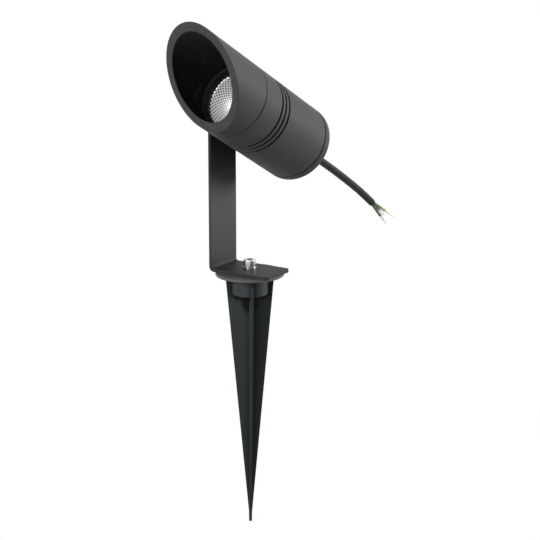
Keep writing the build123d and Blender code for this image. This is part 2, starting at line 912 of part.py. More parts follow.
with BuildPart() as gland_nut:
    hexagon(nut_rear, gland_nut_flats, gland_nut_length)
    chamfer(gland_nut.faces().sort_by(head_axis)[0].edges(), length=2 * edge_break)
    washer(0, gland_thread_radius + seat_fit, nut_floor, nut_rear + gland_nut_length, Mode.SUBTRACT)
    washer(0, sleeve_root_radius + seat_fit, nut_rear, nut_floor, Mode.SUBTRACT)
keep(gland_nut, "gland_nut")


def sleeve_radius(station):
    share = (station - nut_floor) / (sleeve_tip_station - nut_floor)
    return sleeve_root_radius + share * (sleeve_tip_radius - sleeve_root_radius)


with BuildPart() as strain_relief:
    turned(
        [
            (cable_bore, seal_rear),
            (sleeve_flange_radius, seal_rear),
            (sleeve_flange_radius, nut_floor),
            (sleeve_root_radius, nut_floor),
            (sleeve_tip_radius, sleeve_tip_station),
            (cable_bore, sleeve_tip_station),
        ]
    )
    rib_pitch = (nut_rear - sleeve_tip_station) / (sleeve_rib_count + 1)
    for index in range(sleeve_rib_count):
        middle = nut_rear - (index + 1) * rib_pitch
        washer(
            sleeve_radius(middle) - sleeve_rib_depth,
            sleeve_root_radius + edge_break,
            middle - sleeve_rib_gap / 2,
            middle + sleeve_rib_gap / 2,
            Mode.SUBTRACT,
        )
keep(strain_relief, "strain_relief")

# ---- Supply lead: a straight length held in the gland, the free lead, three cores, ferrules

with BuildPart() as gland_cable:
    washer(0, cable_radius, cable_points[0][2], jacket_inner_station)
keep(gland_cable, "gland_cable")

route = [head_point(*point) for point in cable_points]
runs = [(after - before).length for before, after in zip(route, route[1:])]
turns = [
    (after - middle).get_angle(middle - before) for before, middle, after in zip(route, route[1:], route[2:])
]
bends = [
    cable_bend_share * min(runs[index], runs[index + 1]) / tan(radians(turn / 2))
    for index, turn in enumerate(turns)
]

with BuildPart() as power_cable:
    tube(route, bends, cable_radius)
keep(power_cable, "power_cable")

cable_end = Plane(route[-1], x_dir=(1, 0, 0), z_dir=route[-1] - route[-2])


def core_point(angle, offset, distance):
    turn = radians(angle)
    return cable_end.from_local_coords((offset * cos(turn), offset * sin(turn), distance))


def core_end_plane(angle):
    # Where a core ends and its ferrule begins, square to the core's last stretch.
    before, end = [core_point(angle, *place) for place in core_fan[-2:]]
    return Plane(end, z_dir=end - before)


def loose_core(angle):
    tube([core_point(angle, *place) for place in core_fan], core_bends, core_radius)


with BuildPart() as line_core:
    loose_core(core_angles[0])
keep(line_core, "line_core")

with BuildPart() as neutral_core:
    loose_core(core_angles[1])
keep(neutral_core, "neutral_core")

with BuildPart() as earth_core:
    loose_core(core_angles[2])
keep(earth_core, "earth_core")

with BuildPart() as core_ferrules:
    for angle in core_angles:
        with BuildSketch(core_end_plane(angle)) as collar:
            Circle(ferrule_collar_radius)
        extrude(collar.sketch, amount=ferrule_collar_length, taper=ferrule_taper)
        with BuildSketch(core_end_plane(angle)) as pin:
            Circle(ferrule_pin_radius)
        extrude(pin.sketch, amount=ferrule_collar_length + ferrule_pin_length)
keep(core_ferrules, "core_ferrules")
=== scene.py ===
import math

import bmesh
import bpy
from mathutils import Matrix, Vector


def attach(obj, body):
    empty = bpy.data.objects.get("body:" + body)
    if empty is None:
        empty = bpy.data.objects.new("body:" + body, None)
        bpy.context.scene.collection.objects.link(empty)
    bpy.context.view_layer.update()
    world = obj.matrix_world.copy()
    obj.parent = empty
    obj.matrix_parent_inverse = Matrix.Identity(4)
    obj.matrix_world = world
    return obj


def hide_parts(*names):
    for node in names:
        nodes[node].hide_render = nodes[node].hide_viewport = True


# Garden spike spotlight, in metres. +Z is up, the beam leaves towards -Y.
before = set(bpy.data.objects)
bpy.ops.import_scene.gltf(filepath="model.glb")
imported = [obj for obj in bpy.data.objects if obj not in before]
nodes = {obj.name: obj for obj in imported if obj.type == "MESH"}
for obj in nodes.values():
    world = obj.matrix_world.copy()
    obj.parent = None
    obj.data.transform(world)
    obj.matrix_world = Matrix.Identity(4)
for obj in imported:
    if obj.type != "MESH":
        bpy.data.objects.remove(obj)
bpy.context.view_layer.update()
scene = bpy.context.scene
print("frame loaded,", len(nodes), "nodes")

# The head's own frame: X across, Y its upper side, Z along the beam from the pivot
headPlace = {"pivot": (0.0085, 0.0, 0.1285), "tilt": math.radians(28.0)}


def headMatrix(setup):
    tilt = setup["tilt"]
    across = Vector((1, 0, 0))
    beam = Vector((0, -math.cos(tilt), math.sin(tilt)))
    upper = Vector((0, math.sin(tilt), math.cos(tilt)))
    turn = Matrix((across, upper, beam)).transposed().to_4x4()
    return Matrix.Translation(setup["pivot"]) @ turn


headFrame = headMatrix(headPlace)


# Camera
cameraSetup = {
    "place": (0.76319, -1.13065, 0.35493),
    "aim": (0.01806, 0.00205, 0.00595),
    "lens": 117.0,  # in millimetres, as the sensor's width is
    "sensor": 36.0,
    "clip": (0.05, 50.0),
}


def makeCamera(setup):
    data = bpy.data.cameras.new("photoCamera")
    data.lens = setup["lens"]
    data.sensor_width = setup["sensor"]
    data.clip_start, data.clip_end = setup["clip"]
    camera = bpy.data.objects.new("photoCamera", data)
    scene.collection.objects.link(camera)
    camera.location = setup["place"]
    ahead = Vector(setup["aim"]) - Vector(setup["place"])
    camera.rotation_euler = ahead.to_track_quat("-Z", "Y").to_euler()
    scene.camera = camera


makeCamera(cameraSetup)
print("camera placed")


# Material helpers
def newMaterial(name):
    material = bpy.data.materials.new(name)
    material.use_nodes = True
    tree = material.node_tree
    return material, tree, tree.nodes["Principled BSDF"]


def setSockets(tree, node, values):
    # Links another node's output, and sets any other value on the node's own socket
    for key, value in values.items():
        if isinstance(value, bpy.types.NodeSocket):
            tree.links.new(value, node.inputs[key])
        else:
            node.inputs[key].default_value = value


def addNode(tree, kind, sockets=None, **settings):
    node = tree.nodes.new("ShaderNode" + kind)
    for key, value in settings.items():
        setattr(node, key, value)
    setSockets(tree, node, sockets or {})
    return node


def mathNode(tree, operation, first, second):
    return addNode(tree, "Math", {0: first, 1: second}, operation=operation).outputs[0]


def rangeNode(tree, value, fromLow, fromHigh, toLow, toHigh):
    sockets = {"Value": value, 1: fromLow, 2: fromHigh, 3: toLow, 4: toHigh}
    return addNode(tree, "MapRange", sockets).outputs[0]


def objectPoint(tree):
    return addNode(tree, "TexCoord").outputs["Object"]


def headPoint(tree):
    # The object's point in the head's own frame
    sockets = {0: objectPoint(tree), 1: headFrame.translation}
    moved = addNode(tree, "VectorMath", sockets, operation="SUBTRACT").outputs[0]
    sockets = {"Vector": moved, "Rotation": headFrame.inverted().to_euler()}
    return addNode(tree, "VectorRotate", sockets, rotation_type="EULER_XYZ").outputs[0]


def stretchedPoint(tree, point, scale):
    return addNode(tree, "Mapping", {"Vector": point, "Scale": scale}).outputs[0]


# Where a point lies along Z, how far from Z, and its share of a full turn about Z
def axisStation(tree, point):
    return addNode(tree, "SeparateXYZ", {0: point}).outputs["Z"]


def axisDistance(tree, point):
    flat = addNode(tree, "VectorMath", {0: point, 1: (1.0, 1.0, 0.0)}, operation="MULTIPLY").outputs[0]
    return addNode(tree, "VectorMath", {0: flat}, operation="LENGTH").outputs["Value"]


def axisTurn(tree, point):
    return addNode(tree, "TexGradient", {"Vector": point}, gradient_type="RADIAL").outputs["Fac"]


def grain(tree, point, size, detail=2.0, roughness=0.5, distortion=0.0):
    sockets = {
        "Vector": point,
        "Scale": 1.0 / size,
        "Detail": detail,
        "Roughness": roughness,
        "Distortion": distortion,
    }
    return addNode(tree, "TexNoise", sockets).outputs["Fac"]


def spreadNoise(tree, noise, low, high):
    # From low to high, over the values 0.3 to 0.7 that most of a noise has
    return rangeNode(tree, noise, 0.3, 0.7, low, high)


def ramp(tree, factor, stops):
    node = addNode(tree, "ValToRGB", {"Fac": factor})
    elements = node.color_ramp.elements
    while len(elements) < len(stops):
        elements.new(0.5)
    for element, (place, colour) in zip(elements, stops):
        element.position = place
        element.color = (*colour, 1.0)
    return node.outputs["Color"]


def greyRamp(tree, factor, stops):
    return ramp(tree, factor, [(place, (shade, shade, shade)) for place, shade in stops])


def shades(colour, *factors):
    return [tuple(min(1.0, channel * factor) for channel in colour) for factor in factors]


def mottled(tree, noise, colour, limits, spread=0.2):
    # The colour times the first limit in the noise's lows, and times the second in its highs
    dark, middle, pale = shades(colour, limits[0], 1.0, limits[1])
    return ramp(tree, noise, [(0.5 - spread, dark), (0.5, middle), (0.5 + spread, pale)])


def mixColour(tree, factor, first, second, blend="MIX"):
    first, second = ((*side, 1.0) if isinstance(side, tuple) else side for side in (first, second))
    sockets = {0: factor, 6: first, 7: second}  # the places of a Mix node's two colour sockets
    return addNode(tree, "Mix", sockets, data_type="RGBA", blend_type=blend).outputs[2]


def multiplied(tree, colour, other):
    return mixColour(tree, 1.0, colour, other, "MULTIPLY")


def roundedNormal(tree, radius):
    return addNode(tree, "Bevel", {"Radius": radius}, samples=6).outputs["Normal"]


def bump(tree, height, depth, normal=None):
    sockets = {"Height": height, "Distance": depth, "Strength": 1.0}
    if normal is not None:
        sockets["Normal"] = normal
    return addNode(tree, "Bump", sockets).outputs["Normal"]


def dress(material, *names):
    for name in names:
        for materialSlot in nodes[name].material_slots:
            materialSlot.material = material


# Powder coat on the housing, hood, rear cap and bracket: a fine dry grain with paler flecks
powderCoat = {
    "colour": (0.07, 0.0765, 0.0735),
    "grainSize": 0.0004,
    "grainDepth": 0.00003,
    "grainTops": (0.4, 0.75),  # it grows paler between these values, up to the share below
    "grainShare": 0.5,
    "fleckSize": 0.0012,
    "fleckShade": (0.72, 1.3),
    "fleckSpread": 0.14,
    "cloudSize": 0.03,
    "cloudShare": 0.12,
    "roughness": (0.52, 0.68),
    "specular": 0.2,
    "edgeRadius": 0.00035,
    # Nearer the head's axis than the first radius these are black, and past the second they aren't. In the
    # grooves that black is painted shade
    "bore": {"edge": (0.02605, 0.0261), "colour": (0.0056, 0.0053, 0.0053)},
    "grooves": {"edge": (0.0305, 0.0309), "colour": (0.01, 0.0105, 0.01)},
    "bracketTop": 0.14,
    "bracketPaintedShade": [  # heights on the bracket, and how much of the colour the painted shade leaves there
        (0.006, 0.42),
        (0.02, 0.62),
        (0.045, 0.85),
        (0.07, 0.88),
        (0.086, 0.2),
        (0.12, 0.15),
    ],
}


def paintBracketShade(tree, point, colour, setup):
    # Painted shade: darker towards the foot, and a painted shadow of the head on the stretch behind it
    top = setup["bracketTop"]
    share = rangeNode(tree, axisStation(tree, point), 0.0, top, 0.0, 1.0)
    stops = [(height / top, shade) for height, shade in setup["bracketPaintedShade"]]
    return multiplied(tree, colour, greyRamp(tree, share, stops))


def makePowderCoat(name, setup, blackParts=(), bracket=False):
    material, tree, shader = newMaterial(name)
    point = objectPoint(tree)
    fine = grain(tree, point, setup["grainSize"], 3.0, 0.6)
    cloud = grain(tree, point, setup["cloudSize"])
    fleck = grain(tree, point, setup["fleckSize"], 3.0, 0.75)
    pale = shades(setup["colour"], setup["fleckShade"][1])[0]
    colour = mottled(tree, fleck, setup["colour"], setup["fleckShade"], setup["fleckSpread"])
    tops = rangeNode(tree, fine, *setup["grainTops"], 0.0, setup["grainShare"])
    colour = mixColour(tree, tops, colour, pale)
    colour = mixColour(tree, spreadNoise(tree, cloud, 0.0, setup["cloudShare"]), colour, pale)
    if blackParts:
        radius = axisDistance(tree, headPoint(tree))
    for part in blackParts:
        within = rangeNode(tree, radius, *setup[part]["edge"], 1.0, 0.0)
        colour = mixColour(tree, within, colour, setup[part]["colour"])
    if bracket:
        colour = paintBracketShade(tree, point, colour, setup)
    low, high = setup["roughness"]
    looks = {
        "Base Color": colour,
        "Roughness": spreadNoise(tree, fine, high, low),
        "Normal": bump(tree, fine, setup["grainDepth"], roundedNormal(tree, setup["edgeRadius"])),
        "Specular IOR Level": setup["specular"],
    }
    setSockets(tree, shader, looks)
    return material


dress(makePowderCoat("anthracitePowderCoat", powderCoat), "rear_cap")
# Painted shade on the bracket's coat, towards the foot and below the head
dress(makePowderCoat("coatOnBracket", powderCoat, bracket=True), "mounting_bracket")
dress(makePowderCoat("coatWithBlackBore", powderCoat, ["bore"]), "hood")
# The housing's grooves are painted black as painted shade
dress(makePowderCoat("coatWithPaintedGrooveShade", powderCoat, ["grooves", "bore"]), "housing")
print("powder coat on the shells and the bracket")


# Moulded plastic: the spike and the gland, with faint flow marks and a fine spark-eroded skin
spikePlastic = {
    "colour": (0.047, 0.055, 0.058),
    "skinSize": 0.0005,
    "skinDepth": 0.000012,
    "flowSize": 0.02,
    "roughness": (0.36, 0.52),
    "edgeRadius": 0.00045,
    "specular": 0.15,
    # Painted shade in the corners between the fins, by how open each place is
    "recessReach": 0.008,
    "cornerPaintedShade": [(0.22, 0.06), (0.36, 0.2), (0.5, 0.5), (0.72, 0.86), (0.95, 1.0)],
    "closed": (0.86, 0.97),  # openness below which the next two shade it, and above which they don't
    # Painted shadow of the boss on the fins below it
    "bossPaintedShadow": {
        "radius": 0.0145,
        "bottom": -0.0152,
        "reach": (0.02, 0.003),  # how far down, at the spike's axis and at the boss's edge
        "edge": (0.75, 1.15),  # of that reach, where it fades out
        "shade": 0.04,
    },
    # Painted shade on the fins beside the boss
    "besideBossPaintedShade": {"heights": (-0.028, -0.014), "shade": 0.3},
    "tipShadeLine": (-0.03, -0.17),  # painted shade: it darkens down this stretch, towards the tip
    "tipShade": 0.6,
    "flangeTop": 0.0002,
    "flangeColour": (0.15, 0.152, 0.148),
}
glandPlastic = {
    "colour": (0.02, 0.02, 0.0205),
    "skinSize": 0.0003,
    "skinDepth": 0.000008,
    "flowSize": 0.008,
    "roughness": (0.38, 0.5),
    "edgeRadius": 0.0003,
    "specular": 0.45,
}
plasticFlow = {"stretch": (1.0, 1.0, 0.25), "distortion": 0.6, "shade": (0.85, 1.18)}


def shadeSpike(tree, point, colour, setup):
    # Painted shade in the corners between the fins, a painted shadow under the boss, darker towards the
    # tip, and the paler flange
    height = axisStation(tree, point)
    radius = axisDistance(tree, point)
    recess = {"Distance": setup["recessReach"]}
    openness = addNode(tree, "AmbientOcclusion", recess, samples=12, only_local=True).outputs["AO"]
    colour = multiplied(tree, colour, greyRamp(tree, openness, setup["cornerPaintedShade"]))
    closed = rangeNode(tree, openness, *setup["closed"], 1.0, 0.0)
    # The boss's painted shadow, reaching furthest down beside the axis, and painted shade beside the boss
    boss, beside = setup["bossPaintedShadow"], setup["besideBossPaintedShade"]
    reach = rangeNode(tree, radius, 0.0, boss["radius"], *boss["reach"])
    below = mathNode(tree, "DIVIDE", mathNode(tree, "SUBTRACT", boss["bottom"], height), reach)
    lower = mathNode(tree, "LESS_THAN", height, boss["bottom"])
    under = mathNode(tree, "MULTIPLY", lower, rangeNode(tree, below, *boss["edge"], 1.0, 0.0))
    outside = mathNode(tree, "GREATER_THAN", radius, boss["radius"])
    near = mathNode(tree, "MULTIPLY", outside, rangeNode(tree, height, *beside["heights"], 0.0, 1.0))
    masks = [
        (mathNode(tree, "MULTIPLY", under, closed), boss["shade"]),
        (mathNode(tree, "MULTIPLY", near, closed), beside["shade"]),
        (rangeNode(tree, height, *setup["tipShadeLine"], 0.0, 1.0), setup["tipShade"]),
    ]
    for amount, shade in masks:
        colour = mixColour(tree, amount, colour, multiplied(tree, colour, (shade, shade, shade)))
    flange = mathNode(tree, "GREATER_THAN", height, setup["flangeTop"])
    return mixColour(tree, flange, colour, setup["flangeColour"])


def makePlastic(name, setup, flowSetup):
    material, tree, shader = newMaterial(name)
    point = objectPoint(tree)
    skin = grain(tree, point, setup["skinSize"])
    stretched = stretchedPoint(tree, point, flowSetup["stretch"])
    flow = grain(tree, stretched, setup["flowSize"], 3.0, distortion=flowSetup["distortion"])
    colour = mottled(tree, flow, setup["colour"], flowSetup["shade"])
    # The spike alone gets painted shade
    if "recessReach" in setup:
        colour = shadeSpike(tree, point, colour, setup)
    average = mathNode(tree, "MULTIPLY", mathNode(tree, "ADD", skin, flow), 0.5)
    looks = {
        "Base Color": colour,
        "Roughness": rangeNode(tree, average, 0.35, 0.65, *setup["roughness"]),
        "Normal": bump(tree, skin, setup["skinDepth"], roundedNormal(tree, setup["edgeRadius"])),
        "Specular IOR Level": setup["specular"],
    }
    setSockets(tree, shader, looks)
    return material


dress(makePlastic("spikePlastic", spikePlastic, plasticFlow), "spike")
dress(makePlastic("glandNylon", glandPlastic, plasticFlow), "gland_body", "gland_nut", "gland_locknut")
print("plastic on the spike and the gland")


# Machined metals: turning marks round the piece, a little tarnish
metals = {
    "stainlessSteel": {
        "colour": (0.62, 0.61, 0.585),
        "roughness": (0.2, 0.28),
        "markSize": 0.00012,
        "markDepth": 0.000001,
        "nodes": [
            "foot_screw",
            "foot_split_washer",
            "pivot_screw",
            "pivot_split_washer",
            "rear_cap_screws",
            "board_screws",
            "led_holder_screws",
        ],
    },
    "turnedBrass": {
        "colour": (0.68, 0.5, 0.23),
        "roughness": (0.22, 0.36),
        "markSize": 0.00015,
        "markDepth": 0.000003,
        "nodes": ["threaded_insert", "board_standoffs"],
    },
    "tinnedCopper": {
        "colour": (0.72, 0.72, 0.7),
        "roughness": (0.2, 0.32),
        "markSize": 0.0001,
        "markDepth": 0.000002,
        "nodes": ["core_ferrules"],
    },
}
metalSurface = {
    "markStretch": (0.08, 0.08, 1.0),
    "tarnishSize": 0.002,
    "tarnishShade": (0.82, 1.12),
    "edgeRadius": 0.00015,
}


def makeMetal(name, setup, surface):
    material, tree, shader = newMaterial(name)
    point = objectPoint(tree)
    marks = grain(tree, stretchedPoint(tree, point, surface["markStretch"]), setup["markSize"], 1.0)
    tarnish = grain(tree, point, surface["tarnishSize"], 3.0)
    looks = {
        "Base Color": mottled(tree, tarnish, setup["colour"], surface["tarnishShade"]),
        "Roughness": spreadNoise(tree, tarnish, *setup["roughness"]),
        "Normal": bump(tree, marks, setup["markDepth"], roundedNormal(tree, surface["edgeRadius"])),
        "Metallic": 1.0,
    }
    setSockets(tree, shader, looks)
    return material


for metalName, metal in metals.items():
    dress(makeMetal(metalName, metal, metalSurface), *metal["nodes"])
print("metal on the screws, washers, insert, standoffs and ferrules")


# Soft and plain small materials share one recipe: colour, mottling, skin and shine
smallFinishes = {
    "siliconeRubber": {
        "colour": (0.018, 0.018, 0.018),
        "roughness": 0.62,
        "mottle": 0.0012,
        "depth": 0.00001,
        "nodes": ["hood_o_ring", "rear_o_ring", "glass_gasket", "gland_gasket", "gland_seal"],
    },
    "sleeveRubber": {
        "colour": (0.022, 0.022, 0.022),
        "roughness": 0.58,
        "mottle": 0.0008,
        "depth": 0.000015,
        "nodes": ["strain_relief", "gland_cable"],
    },
    "anodisedBlack": {
        "colour": (0.008, 0.008, 0.008),
        "roughness": 0.38,
        "mottle": 0.0006,
        "depth": 0.000004,
        "nodes": ["glass_retaining_ring"],
    },
    "slidingNylon": {
        "colour": (0.62, 0.6, 0.54),
        "roughness": 0.45,
        "mottle": 0.0015,
        "depth": 0.000008,
        "nodes": ["pivot_friction_washer"],
    },
    "holderPlastic": {
        "colour": (0.78, 0.78, 0.75),
        "roughness": 0.42,
        "mottle": 0.002,
        "depth": 0.000008,
        "nodes": ["led_holder"],
    },
    "chipCeramic": {
        "colour": (0.82, 0.82, 0.79),
        "roughness": 0.3,
        "mottle": 0.0008,
        "depth": 0.000003,
        "nodes": ["led_chip"],
    },
    "thermalPad": {
        "colour": (0.36, 0.37, 0.39),
        "roughness": 0.7,
        "mottle": 0.0006,
        "depth": 0.00002,
        "nodes": ["thermal_pad"],
    },
    "componentBlack": {
        "colour": (0.02, 0.02, 0.022),
        "roughness": 0.35,
        "mottle": 0.001,
        "depth": 0.00001,
        "nodes": ["driver_choke"],
    },
    "terminalGreen": {
        "colour": (0.05, 0.26, 0.1),
        "roughness": 0.4,
        "mottle": 0.0015,
        "depth": 0.000006,
        "nodes": ["input_terminal"],
    },
    "wireRed": {
        "colour": (0.45, 0.03, 0.02),
        "roughness": 0.35,
        "mottle": 0.001,
        "depth": 0.000005,
        "nodes": ["led_wires"],
    },
    "coreBrown": {
        "colour": (0.16, 0.062, 0.028),
        "roughness": 0.34,
        "mottle": 0.0012,
        "depth": 0.000006,
        "nodes": ["line_core", "supply_cores"],
    },
    "coreBlue": {
        "colour": (0.018, 0.1, 0.42),
        "roughness": 0.34,
        "mottle": 0.0012,
        "depth": 0.000006,
        "nodes": ["neutral_core"],
    },
}
smallSurface = {
    "shade": (0.86, 1.14),
    "roughnessSpread": (-0.06, 0.08),
    "edgeRadius": 0.0002,
}


def makeSmallFinish(name, setup, surface):
    material, tree, shader = newMaterial(name)
    mottle = grain(tree, objectPoint(tree), setup["mottle"], 3.0)
    smooth, rough = (setup["roughness"] + spread for spread in surface["roughnessSpread"])
    looks = {
        "Base Color": mottled(tree, mottle, setup["colour"], surface["shade"]),
        "Roughness": spreadNoise(tree, mottle, smooth, rough),
        "Normal": bump(tree, mottle, setup["depth"], roundedNormal(tree, surface["edgeRadius"])),
    }
    setSockets(tree, shader, looks)
    return material


for finishName, finish in smallFinishes.items():
    dress(makeSmallFinish(finishName, finish, smallSurface), *finish["nodes"])
print(len(smallFinishes), "small finishes")


# Earth core: green with a yellow stripe that winds along it
earthStripe = {
    "green": (0.03, 0.28, 0.04),
    "yellow": (0.75, 0.62, 0.03),
    "waveScale": 34.4444,
    "edge": (0.44, 0.56),
    "mottle": 0.0012,
    "roughness": (0.28, 0.4),
}


def makeEarthCore(setup):
    material, tree, shader = newMaterial("coreEarth")
    point = objectPoint(tree)
    sockets = {"Vector": point, "Scale": setup["waveScale"], "Distortion": 0.4, "Detail": 1.0}
    wave = addNode(tree, "TexWave", sockets, wave_type="BANDS", bands_direction="DIAGONAL").outputs["Fac"]
    stops = zip(setup["edge"], (setup["green"], setup["yellow"]))
    looks = {
        "Base Color": ramp(tree, wave, list(stops)),
        "Roughness": spreadNoise(tree, grain(tree, point, setup["mottle"]), *setup["roughness"]),
    }
    setSockets(tree, shader, looks)
    return material


dress(makeEarthCore(earthStripe), "earth_core")


# Circuit board: solder mask with paler tracks
boardFinish = {
    "mask": (0.012, 0.12, 0.045),
    "maskShade": 1.3,
    "track": (0.03, 0.2, 0.08),
    "trackPitch": 0.0024,
    "trackWidth": 0.06,  # where the brick pattern's own bricks are 0.5 long
    "depth": 0.00002,
    "grainSize": 0.0006,
    "roughness": (0.22, 0.36),
}


def makeBoard(setup):
    material, tree, shader = newMaterial("solderMask")
    point = headPoint(tree)
    sockets = {
        "Vector": point,
        "Color1": (*setup["mask"], 1.0),
        "Color2": (*shades(setup["mask"], setup["maskShade"])[0], 1.0),
        "Mortar": (*setup["track"], 1.0),
        "Scale": 0.5 / setup["trackPitch"],
        "Mortar Size": setup["trackWidth"],
    }
    bricks = addNode(tree, "TexBrick", sockets)
    looks = {
        "Base Color": bricks.outputs["Color"],
        "Roughness": spreadNoise(tree, grain(tree, point, setup["grainSize"]), *setup["roughness"]),
        "Normal": bump(tree, bricks.outputs["Fac"], setup["depth"]),
    }
    setSockets(tree, shader, looks)
    return material


dress(makeBoard(boardFinish), "driver_board")


# Transformer: yellow tape round the winding, between two ferrite halves
transformerFinish = {
    "tape": (0.72, 0.5, 0.06),
    "tapeStations": (-0.02755, -0.02065),
    "ferrite": [(0.3, (0.035, 0.035, 0.037)), (0.7, (0.065, 0.065, 0.068))],
    "mottle": 0.0008,
    "depth": 0.00002,
    "roughness": (0.35, 0.55),
}


def makeTransformer(setup):
    material, tree, shader = newMaterial("ferriteAndTape")
    point = headPoint(tree)
    station = axisStation(tree, point)
    rear, front = setup["tapeStations"]
    ahead = mathNode(tree, "GREATER_THAN", station, rear)
    inTape = mathNode(tree, "MULTIPLY", ahead, mathNode(tree, "LESS_THAN", station, front))
    mottle = grain(tree, point, setup["mottle"])
    looks = {
        "Base Color": mixColour(tree, inTape, ramp(tree, mottle, setup["ferrite"]), setup["tape"]),
        "Roughness": spreadNoise(tree, mottle, *setup["roughness"]),
        "Normal": bump(tree, mottle, setup["depth"]),
    }
    setSockets(tree, shader, looks)
    return material


dress(makeTransformer(transformerFinish), "driver_transformer")


# Capacitors: dark blue sleeves with a grey stripe
capacitorFinish = {
    "sleeve": [(0.3, (0.012, 0.014, 0.03)), (0.7, (0.02, 0.024, 0.05))],
    "stripe": (0.5, 0.5, 0.5),
    "stripeShare": 0.02,  # of a turn about the head's axis
    "mottle": 0.001,
    "skinSize": 0.0007,
    "roughness": (0.22, 0.34),
}


def makeCapacitor(setup):
    material, tree, shader = newMaterial("capacitorSleeve")
    point = headPoint(tree)
    stripe = mathNode(tree, "LESS_THAN", axisTurn(tree, point), setup["stripeShare"])
    sleeve = ramp(tree, grain(tree, point, setup["mottle"]), setup["sleeve"])
    looks = {
        "Base Color": mixColour(tree, stripe, sleeve, setup["stripe"]),
        "Roughness": spreadNoise(tree, grain(tree, point, setup["skinSize"]), *setup["roughness"]),
    }
    setSockets(tree, shader, looks)
    return material


dress(makeCapacitor(capacitorFinish), "driver_capacitors")


# Light source: yellow phosphor with the diodes' grid faintly showing through
emitterFinish = {
    "phosphor": (0.86, 0.62, 0.1),
    "diode": (0.66, 0.44, 0.06),
    "pitch": 0.0011,
    "diodeEdge": (0.24, 0.34),  # of the pitch, from a diode's middle
    "roughness": (0.18, 0.3),
    "coat": 0.6,
    "coatRoughness": 0.08,
}


def makeEmitter(setup):
    material, tree, shader = newMaterial("phosphorDome")
    sockets = {"Vector": headPoint(tree), "Scale": 1.0 / setup["pitch"], "Randomness": 0.0}
    dots = addNode(tree, "TexVoronoi", sockets, distance="CHEBYCHEV").outputs["Distance"]
    stops = zip(setup["diodeEdge"], (setup["diode"], setup["phosphor"]))
    looks = {
        "Base Color": ramp(tree, dots, list(stops)),
        "Roughness": rangeNode(tree, dots, 0.0, 0.5, *setup["roughness"]),
        "Coat Weight": setup["coat"],
        "Coat Roughness": setup["coatRoughness"],
    }
    setSockets(tree, shader, looks)
    return material


dress(makeEmitter(emitterFinish), "led_emitter")


# Front glass, clear, with the faintest film of dust
glassFinish = {
    "tint": (0.985, 0.995, 0.99),
    "index": 1.45,
    "dustSize": 0.004,
    "dustEdge": (0.55, 0.8),
    "roughness": (0.0, 0.01),
}


def makeGlass(setup):
    material, tree, shader = newMaterial("clearGlass")
    dust = grain(tree, objectPoint(tree), setup["dustSize"], 5.0, 0.65)
    looks = {
        "Base Color": (*setup["tint"], 1.0),
        "Roughness": rangeNode(tree, dust, *setup["dustEdge"], *setup["roughness"]),
        "Transmission Weight": 1.0,
        "IOR": setup["index"],
    }
    setSockets(tree, shader, looks)
    return material


dress(makeGlass(glassFinish), "front_glass")
print("driver, light source and glass dressed")


# Pieces that replace CAD nodes
def makeObject(name, mesh, material, body):
    piece = bpy.data.objects.new(name, mesh)
    scene.collection.objects.link(piece)
    piece.data.materials.append(material)
    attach(piece, body)
    return piece


# Reflector: a parabolic bowl pressed into staggered diamond facets, with painted reflection and a painted
# glow in its metal
reflectorBowl = {
    "throat": 0.0072,
    "mouth": 0.0229,
    "rear": 0.0082,
    "front": 0.033,
    "wall": 0.0009,
    "wallShares": (0.94, 0.8, 0.65, 0.5, 0.35, 0.2, 0.0),  # of the way out from the throat
    "rimRadius": 0.0237,
    "rimHeight": 0.0012,
    "around": 48,
    "rings": 24,
    "dome": 0.05,  # of a facet's width, how far its middle stands in
    "lean": 0.35,  # how much that is to the front, of how much it is to the axis
    "colour": (0.99, 0.99, 0.98),
    "middleReflectionShade": 0.0,  # painted reflection: the facets' middles are painted dark for the black hood they mirror
    "netReach": 0.15,  # how soon the painted reflection darkens a facet away from its edges, up to 0.25
    "clearNet": (0.0125, 0.0185),  # painted light: nearer the axis than this the net is painted out in the bright colour
    "paintedGlow": (0.62, 0.28),  # painted glow, at its throat and at its mouth, standing in for light a lit bowl would show
    "metallic": 0.75,
    "roughness": (0.14, 0.2),
    "mottle": 0.0015,
}


def bowlRadius(setup, share):
    return setup["throat"] + (setup["mouth"] - setup["throat"]) * share


def bowlStation(setup, radius):
    share = (radius**2 - setup["throat"] ** 2) / (setup["mouth"] ** 2 - setup["throat"] ** 2)
    return setup["rear"] + share * (setup["front"] - setup["rear"])


def ringOfVerts(bowl, setup, radius, station, offset=0.0):
    step = 2 * math.pi / setup["around"]
    verts = []
    for column in range(setup["around"]):
        angle = (column + offset) * step
        verts.append(bowl.verts.new((radius * math.cos(angle), radius * math.sin(angle), station)))
    return verts


def outsideProfile(setup):
    # The rim's flange and the plain outer wall, from the mouth back to the throat
    rim, front = setup["rimRadius"], setup["front"]
    profile = [(rim, front), (rim, front - setup["rimHeight"])]
    for share in setup["wallShares"]:
        radius = bowlRadius(setup, share)
        profile.append((radius + setup["wall"], bowlStation(setup, radius)))
    return profile


def pressFacets(bowl, rows, setup):
    # Each diamond is four faces round its raised middle. Its outline, which is returned, stays sharp
    around, rings = setup["around"], setup["rings"]
    outlines = set()
    for ring in range(rings + 1):
        for column in range(around):
            left, right = rows[ring][column], rows[ring][(column + 1) % around]
            shift = (column + ring % 2) % around
            ends = [rows[other][shift] for other in (ring - 1, ring + 1) if 0 <= other <= rings]
            if len(ends) == 2:
                middle = (left.co + right.co) / 2
                inward = Vector((-middle.x, -middle.y, setup["lean"] * middle.xy.length)).normalized()
                height = setup["dome"] * (right.co - left.co).length
                peak = bowl.verts.new((left.co + right.co + ends[0].co + ends[1].co) / 4 + inward * height)
                corners = [left, ends[0], right, ends[1]]
                for first, second in zip(corners, corners[1:] + corners[:1]):
                    bowl.faces.new((first, second, peak))
                    outlines.add(frozenset((first, second)))
            else:
                bowl.faces.new((left, ends[0], right) if ring else (left, right, ends[0]))
    return outlines


